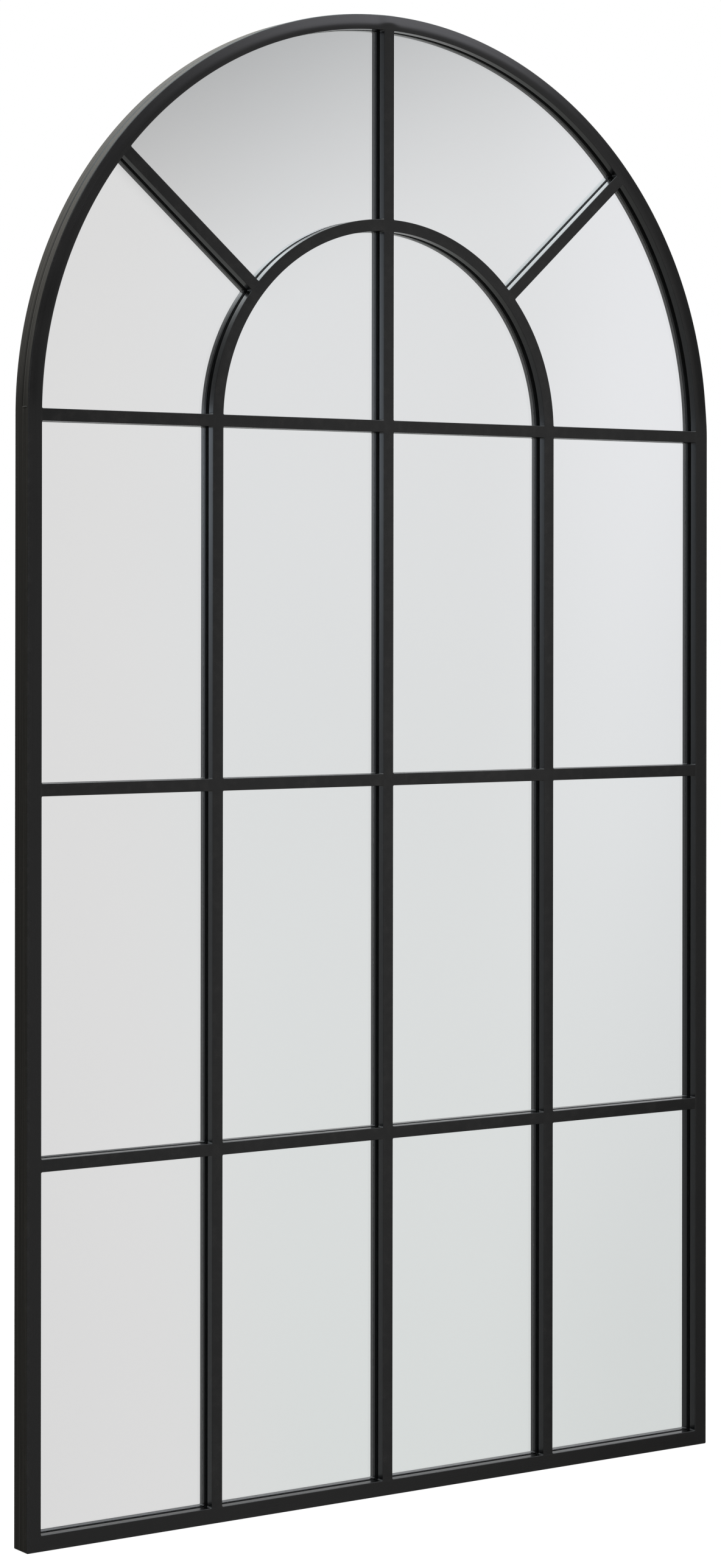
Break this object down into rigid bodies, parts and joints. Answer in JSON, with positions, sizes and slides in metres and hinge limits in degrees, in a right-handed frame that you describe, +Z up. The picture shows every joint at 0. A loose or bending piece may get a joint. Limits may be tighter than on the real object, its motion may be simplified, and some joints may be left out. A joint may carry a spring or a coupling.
{
  "type": "wall mirror",
  "caption": "Arched wall mirror behind a flush steel window grille with a semicircular inner arch, hung on keyhole plates.",
  "frame": {"origin": "middle of the bottom edge, on the wall plane at the back of the bottom rim", "axes": "+Z up, +X to the right as seen from the front, +Y from the front back into the wall"},
  "size_m": [1, 0.03, 1.7999],
  "materials": {
    "black_coat": "satin powder coat",
    "mirror": "silvered float glass",
    "foam": "closed-cell foam",
    "fibreboard": "raw hardboard",
    "rubber": "matte",
    "tape": "matte foam tape",
    "zinc": "zinc plated"
  },
  "bodies": {
    "mirror": {"left_stile": "black_coat", "right_stile": "black_coat", "bottom_rail": "black_coat", "arch_bar": "black_coat", "mullion_left": "black_coat", "mullion_centre": "black_coat", "mullion_right": "black_coat", "transom_lower": "black_coat", "transom_middle": "black_coat", "transom_upper": "black_coat", "inner_arch": "black_coat", "radial_left": "black_coat", "radial_right": "black_coat", "corner_welds": "black_coat", "left_rim": "black_coat", "right_rim": "black_coat", "bottom_rim": "black_coat", "arch_rim": "black_coat", "hanger_plate_left": "black_coat", "hanger_plate_right": "black_coat", "clip_bosses": "black_coat", "mirror_glass": "mirror", "foam_sheet": "foam", "back_board": "fibreboard", "setting_blocks": "rubber", "side_spacers": "rubber", "glazing_tape": "tape", "clip_screws": "zinc"},
    "turn_clip_01": {"turn_clip_01": "zinc"},
    "turn_clip_02": {"turn_clip_02": "zinc"},
    "turn_clip_03": {"turn_clip_03": "zinc"},
    "turn_clip_04": {"turn_clip_04": "zinc"},
    "turn_clip_05": {"turn_clip_05": "zinc"},
    "turn_clip_06": {"turn_clip_06": "zinc"},
    "turn_clip_07": {"turn_clip_07": "zinc"},
    "turn_clip_08": {"turn_clip_08": "zinc"},
    "turn_clip_09": {"turn_clip_09": "zinc"},
    "turn_clip_10": {"turn_clip_10": "zinc"},
    "turn_clip_11": {"turn_clip_11": "zinc"},
    "turn_clip_12": {"turn_clip_12": "zinc"}
  },
  "joints": [
    {"name": "turn_clip_01_pivot", "type": "hinge", "parent": "mirror", "child": "turn_clip_01", "pos_m": [-0.49275, -0.00705, 0.221], "axis": [0, 1, 0], "range_deg": [-88, 88]},
    {"name": "turn_clip_02_pivot", "type": "hinge", "parent": "mirror", "child": "turn_clip_02", "pos_m": [-0.49275, -0.00705, 0.65], "axis": [0, 1, 0], "range_deg": [-88, 88]},
    {"name": "turn_clip_03_pivot", "type": "hinge", "parent": "mirror", "child": "turn_clip_03", "pos_m": [-0.49275, -0.00705, 1.079], "axis": [0, 1, 0], "range_deg": [-88, 88]},
    {"name": "turn_clip_04_pivot", "type": "hinge", "parent": "mirror", "child": "turn_clip_04", "pos_m": [-0.45015, -0.00705, 1.50042], "axis": [0, 1, 0], "range_deg": [-88, 88]},
    {"name": "turn_clip_05_pivot", "type": "hinge", "parent": "mirror", "child": "turn_clip_05", "pos_m": [-0.20042, -0.00705, 1.75015], "axis": [0, 1, 0], "range_deg": [-88, 88]},
    {"name": "turn_clip_06_pivot", "type": "hinge", "parent": "mirror", "child": "turn_clip_06", "pos_m": [0.20042, -0.00705, 1.75015], "axis": [0, 1, 0], "range_deg": [-88, 88]},
    {"name": "turn_clip_07_pivot", "type": "hinge", "parent": "mirror", "child": "turn_clip_07", "pos_m": [0.45015, -0.00705, 1.50042], "axis": [0, 1, 0], "range_deg": [-88, 88]},
    {"name": "turn_clip_08_pivot", "type": "hinge", "parent": "mirror", "child": "turn_clip_08", "pos_m": [0.49275, -0.00705, 1.079], "axis": [0, 1, 0], "range_deg": [-88, 88]},
    {"name": "turn_clip_09_pivot", "type": "hinge", "parent": "mirror", "child": "turn_clip_09", "pos_m": [0.49275, -0.00705, 0.65], "axis": [0, 1, 0], "range_deg": [-88, 88]},
    {"name": "turn_clip_10_pivot", "type": "hinge", "parent": "mirror", "child": "turn_clip_10", "pos_m": [0.49275, -0.00705, 0.221], "axis": [0, 1, 0], "range_deg": [-88, 88]},
    {"name": "turn_clip_11_pivot", "type": "hinge", "parent": "mirror", "child": "turn_clip_11", "pos_m": [0.18, -0.00705, 0.00725], "axis": [0, 1, 0], "range_deg": [-88, 88]},
    {"name": "turn_clip_12_pivot", "type": "hinge", "parent": "mirror", "child": "turn_clip_12", "pos_m": [-0.18, -0.00705, 0.00725], "axis": [0, 1, 0], "range_deg": [-88, 88]}
  ]
}
